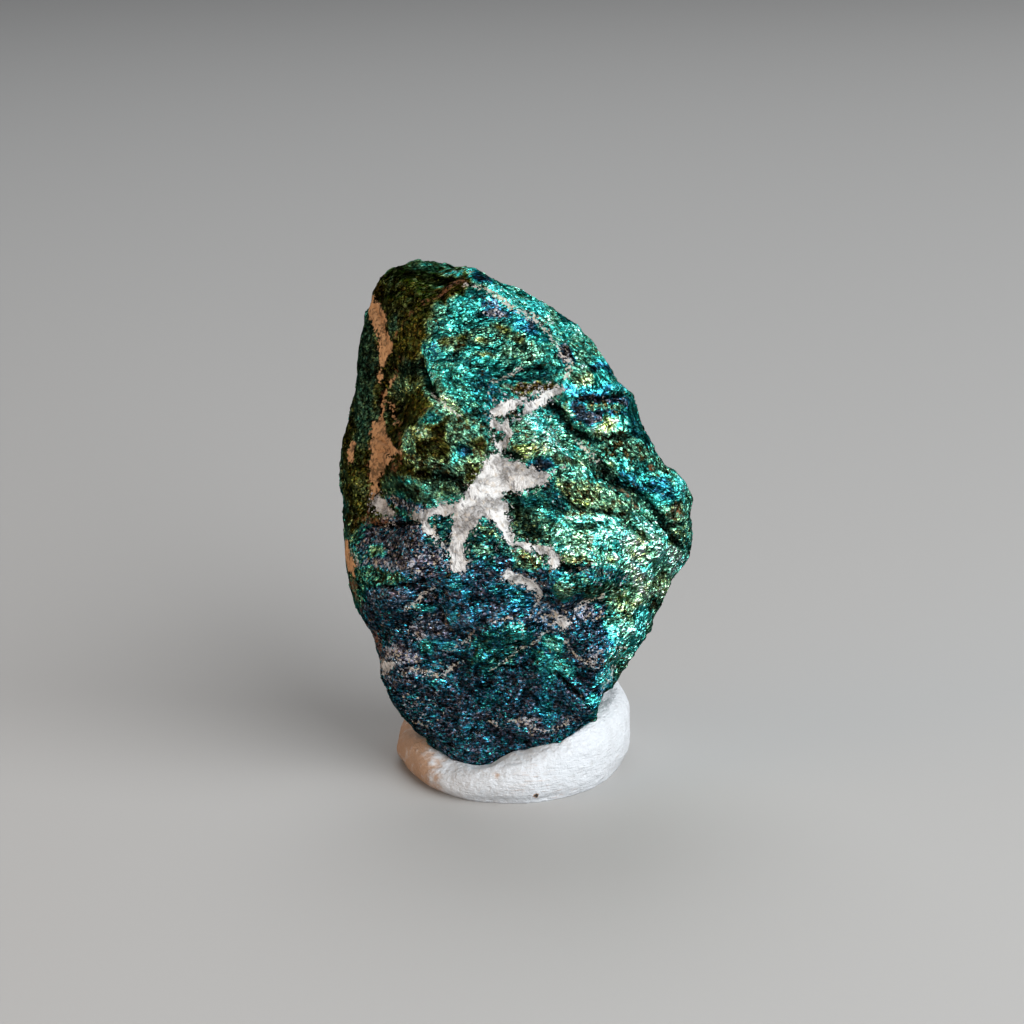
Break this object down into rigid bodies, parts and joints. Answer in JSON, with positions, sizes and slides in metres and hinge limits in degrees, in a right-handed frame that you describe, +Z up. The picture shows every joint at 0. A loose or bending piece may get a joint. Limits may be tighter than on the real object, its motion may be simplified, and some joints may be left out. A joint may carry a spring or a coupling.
{
  "type": "peacock ore specimen",
  "caption": "Upright chunk of iridescent tarnished copper ore with white quartz veins, its foot pressed into a small round pad of white mounting putty.",
  "frame": {"origin": "the middle of the putty pad's flat underside", "axes": "+Z up, the chunk's longest way; -Y out of the display side; +X to the right as the display side is seen"},
  "size_m": [0.035, 0.0264, 0.0511],
  "materials": {
    "ore": "rough broken metallic sulphide with a green, turquoise, blue and olive tarnish, and matte white quartz veins",
    "putty": "matte white kneaded putty, rubbed by fingers"
  },
  "bodies": {
    "root": {"ore_chunk": "ore", "putty_pad": "putty"}
  },
  "joints": []
}
